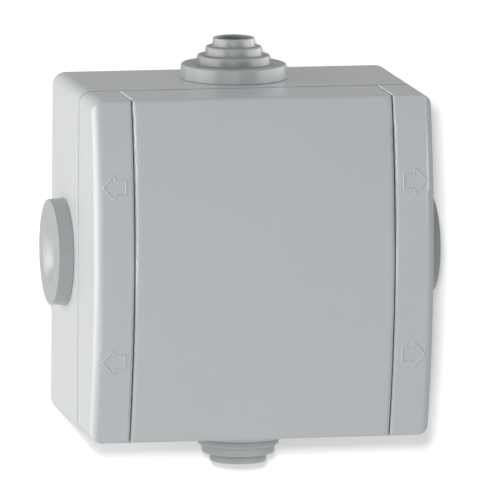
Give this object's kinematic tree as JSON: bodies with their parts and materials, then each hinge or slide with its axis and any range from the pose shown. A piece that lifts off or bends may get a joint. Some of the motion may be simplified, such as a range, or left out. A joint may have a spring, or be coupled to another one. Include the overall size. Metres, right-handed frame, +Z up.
{
  "type": "electrical junction box",
  "caption": "Square surface-mounted junction box with a bowed screw-down cover, sliding strips over the screws, stepped soft cable glands, blanking plugs and a terminal block inside.",
  "frame": {"origin": "centre of the back face, where the base meets the wall", "axes": "+X to the right seen from the front, +Z up the wall, +Y into the wall, so the front faces -Y"},
  "size_m": [0.0909, 0.0535, 0.1001],
  "materials": {
    "housing": "fine moulded satin",
    "strip": "fine moulded satin",
    "gland_rubber": "soft matte",
    "seal_rubber": "matte",
    "zinc_steel": "zinc plated",
    "brass": "machined",
    "terminal_plastic": "moulded"
  },
  "bodies": {
    "base": {"base_box": "housing", "cover_gasket": "seal_rubber", "top_gland": "gland_rubber", "bottom_gland": "gland_rubber", "left_plug": "gland_rubber", "right_plug": "gland_rubber", "terminal_body": "terminal_plastic", "terminal_clamps": "brass", "terminal_screws": "zinc_steel", "terminal_fixings": "zinc_steel"},
    "cover": {"cover": "housing"},
    "left_strip": {"left_strip": "strip"},
    "right_strip": {"right_strip": "strip"},
    "washer_upper_left": {"washer_upper_left": "seal_rubber"},
    "screw_upper_left": {"screw_upper_left": "zinc_steel"},
    "washer_upper_right": {"washer_upper_right": "seal_rubber"},
    "screw_upper_right": {"screw_upper_right": "zinc_steel"},
    "washer_lower_left": {"washer_lower_left": "seal_rubber"},
    "screw_lower_left": {"screw_lower_left": "zinc_steel"},
    "washer_lower_right": {"washer_lower_right": "seal_rubber"},
    "screw_lower_right": {"screw_lower_right": "zinc_steel"}
  },
  "joints": [
    {"name": "cover_lift", "type": "slide", "parent": "base", "child": "cover", "axis": [0, -1, 0], "range_m": [0, 0.045]},
    {"name": "left_strip_slide", "type": "slide", "parent": "cover", "child": "left_strip", "axis": [-1, 0, 0], "range_m": [0, 0.009]},
    {"name": "right_strip_slide", "type": "slide", "parent": "cover", "child": "right_strip", "axis": [1, 0, 0], "range_m": [0, 0.009]},
    {"name": "screw_upper_left_rise", "type": "slide", "parent": "cover", "child": "washer_upper_left", "axis": [0, -1, 0], "range_m": [0, 0.0065]},
    {"name": "screw_upper_left_turn", "type": "hinge", "parent": "washer_upper_left", "child": "screw_upper_left", "pos_m": [-0.0342, -0.035, 0.0342], "axis": [0, -1, 0], "range_deg": [0, 1830]},
    {"name": "screw_upper_right_rise", "type": "slide", "parent": "cover", "child": "washer_upper_right", "axis": [0, -1, 0], "range_m": [0, 0.0065]},
    {"name": "screw_upper_right_turn", "type": "hinge", "parent": "washer_upper_right", "child": "screw_upper_right", "pos_m": [0.0342, -0.035, 0.0342], "axis": [0, -1, 0], "range_deg": [0, 1830]},
    {"name": "screw_lower_left_rise", "type": "slide", "parent": "cover", "child": "washer_lower_left", "axis": [0, -1, 0], "range_m": [0, 0.0065]},
    {"name": "screw_lower_left_turn", "type": "hinge", "parent": "washer_lower_left", "child": "screw_lower_left", "pos_m": [-0.0342, -0.035, -0.0342], "axis": [0, -1, 0], "range_deg": [0, 1830]},
    {"name": "screw_lower_right_rise", "type": "slide", "parent": "cover", "child": "washer_lower_right", "axis": [0, -1, 0], "range_m": [0, 0.0065]},
    {"name": "screw_lower_right_turn", "type": "hinge", "parent": "washer_lower_right", "child": "screw_lower_right", "pos_m": [0.0342, -0.035, -0.0342], "axis": [0, -1, 0], "range_deg": [0, 1830]}
  ],
  "couplings": [
    {"joint": "screw_upper_left_turn", "follows": "screw_upper_left_rise", "rad_per_m": 4833.2},
    {"joint": "screw_upper_right_turn", "follows": "screw_upper_right_rise", "rad_per_m": 4833.2},
    {"joint": "screw_lower_left_turn", "follows": "screw_lower_left_rise", "rad_per_m": 4833.2},
    {"joint": "screw_lower_right_turn", "follows": "screw_lower_right_rise", "rad_per_m": 4833.2}
  ]
}
